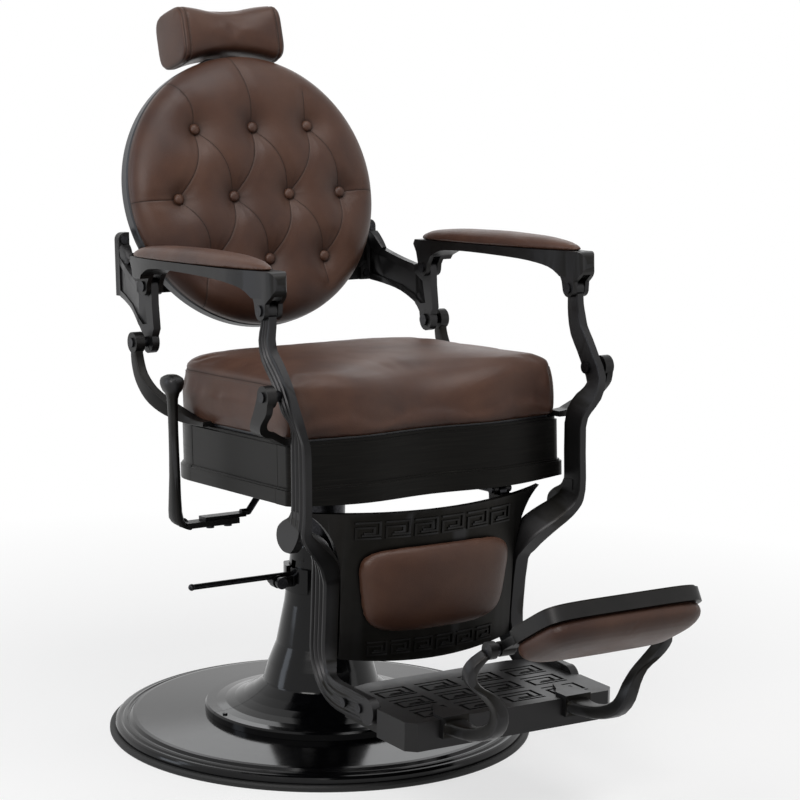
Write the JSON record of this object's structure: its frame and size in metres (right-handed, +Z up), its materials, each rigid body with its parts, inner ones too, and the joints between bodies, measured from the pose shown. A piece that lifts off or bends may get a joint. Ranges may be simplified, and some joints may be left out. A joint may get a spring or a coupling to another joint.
{
  "type": "hydraulic barber chair",
  "caption": "Hydraulic barber chair with a round tufted back, headrest, padded arms, fluted leg frame, flip-over footrest and a domed round base.",
  "frame": {"origin": "centre of the base's underside, on the floor", "axes": "+Z up, the sitter faces -Y, +X to the sitter's left"},
  "size_m": [0.7099, 1.2939, 1.2006],
  "materials": {
    "brown_leather": "satin grained upholstery leather",
    "black_rubber": "matt moulded",
    "gloss_black": "gloss black",
    "dark_steel": "blackened steel",
    "backing_board": "satin black",
    "cast_bronze_black": "satin black with a brushed bronze cast"
  },
  "bodies": {
    "base": {"base_plate": "gloss_black", "rubber_ring": "black_rubber", "base_cover": "gloss_black", "skirt_front": "gloss_black", "skirt_rear": "gloss_black", "skirt_screws": "dark_steel", "column_cover": "gloss_black", "pump_cylinder": "gloss_black", "gland_ring": "gloss_black", "lever_yoke": "gloss_black", "lever_pin": "dark_steel"},
    "pump_lever": {"pump_lever": "dark_steel"},
    "ram": {"ram": "dark_steel"},
    "seat": {"swivel_head": "gloss_black", "cross_bracket": "gloss_black", "front_rail": "cast_bronze_black", "side_rail_left": "cast_bronze_black", "side_rail_right": "cast_bronze_black", "rear_rail": "cast_bronze_black", "seat_board": "backing_board", "seat_cushion": "brown_leather", "front_pivot_arms": "cast_bronze_black", "rear_pivot_arms": "cast_bronze_black", "seat_pivot_pins": "dark_steel", "lever_bearing": "gloss_black", "strut_barrel": "gloss_black"},
    "recline_handle": {"recline_lever": "cast_bronze_black", "recline_crank": "dark_steel", "lever_bolts": "dark_steel"},
    "strut": {"strut_rod": "dark_steel"},
    "leg_frame": {"leg_left": "cast_bronze_black", "leg_right": "cast_bronze_black", "calf_panel": "cast_bronze_black", "calf_pad": "brown_leather", "tread_plate": "cast_bronze_black", "tread_bumpers": "black_rubber", "leg_bolts": "dark_steel", "footrest_brackets": "cast_bronze_black", "footrest_pins": "dark_steel", "strut_pins": "dark_steel"},
    "footrest": {"footrest_tray": "cast_bronze_black", "footrest_pad": "brown_leather"},
    "arm_left": {"arm_left": "cast_bronze_black", "arm_pad_left": "brown_leather", "arm_pins_left": "dark_steel"},
    "arm_right": {"arm_right": "cast_bronze_black", "arm_pad_right": "brown_leather", "arm_pins_right": "dark_steel"},
    "back": {"back_brackets": "cast_bronze_black", "back_crossplate": "cast_bronze_black", "back_shell": "backing_board", "back_cushion": "brown_leather", "back_buttons": "brown_leather", "bracket_bolts": "dark_steel", "headrest_socket": "gloss_black"},
    "headrest_knob": {"headrest_knob": "black_rubber"},
    "headrest_post": {"headrest_post": "dark_steel"},
    "headrest": {"headrest_yoke": "gloss_black", "headrest_pin": "dark_steel", "headrest_pad": "brown_leather"}
  },
  "joints": [
    {"name": "pump_stroke", "type": "hinge", "parent": "base", "child": "pump_lever", "pos_m": [-0.086, 0, 0.262], "axis": [0, 1, 0], "range_deg": [-18, 5]},
    {"name": "lift", "type": "slide", "parent": "base", "child": "ram", "axis": [0, 0, 1], "range_m": [-0.05, 0.12]},
    {"name": "swivel", "type": "hinge", "parent": "ram", "child": "seat", "pos_m": [0, 0, 0.402], "axis": [0, 0, 1], "continuous": true},
    {"name": "recline", "type": "hinge", "parent": "seat", "child": "back", "pos_m": [0, 0.09911, 0.66531], "axis": [-1, 0, 0], "range_deg": [0, 40]},
    {"name": "leg_swing", "type": "hinge", "parent": "seat", "child": "leg_frame", "pos_m": [0, -0.36275, 0.64898], "axis": [-1, 0, 0], "range_deg": [0, 32.15]},
    {"name": "arm_left_swing", "type": "hinge", "parent": "leg_frame", "child": "arm_left", "pos_m": [0, -0.31822, 0.77099], "axis": [-1, 0, 0], "range_deg": [-35.37, 0]},
    {"name": "arm_right_swing", "type": "hinge", "parent": "leg_frame", "child": "arm_right", "pos_m": [0, -0.31822, 0.77099], "axis": [-1, 0, 0], "range_deg": [-35.37, 0]},
    {"name": "strut_slide", "type": "slide", "parent": "seat", "child": "strut", "axis": [0, -0.9981, 0.061], "range_m": [0, 0.10961]},
    {"name": "footrest_flip", "type": "hinge", "parent": "leg_frame", "child": "footrest", "pos_m": [0, -0.72889, 0.33024], "axis": [-1, 0, 0], "range_deg": [0, 106]},
    {"name": "lever_pull", "type": "hinge", "parent": "seat", "child": "recline_handle", "pos_m": [0, -0.04781, 0.44187], "axis": [1, 0, 0], "range_deg": [-10, 8]},
    {"name": "headrest_height", "type": "slide", "parent": "back", "child": "headrest_post", "axis": [0, 0.289, 0.9573], "range_m": [0, 0.07]},
    {"name": "headrest_tilt", "type": "hinge", "parent": "headrest_post", "child": "headrest", "pos_m": [0, 0.37026, 1.0884], "axis": [-1, 0, 0], "range_deg": [0, 35]},
    {"name": "knob_turn", "type": "hinge", "parent": "back", "child": "headrest_knob", "pos_m": [0, 0.36244, 0.99675], "axis": [0, 0.9573, -0.289], "range_deg": [-180, 180]}
  ],
  "couplings": [
    {"joint": "leg_swing", "follows": "recline", "ratio": 0.8038},
    {"joint": "arm_left_swing", "follows": "recline", "ratio": -0.8843},
    {"joint": "arm_right_swing", "follows": "recline", "ratio": -0.8843},
    {"joint": "strut_slide", "follows": "recline", "m_per_rad": 0.157}
  ]
}
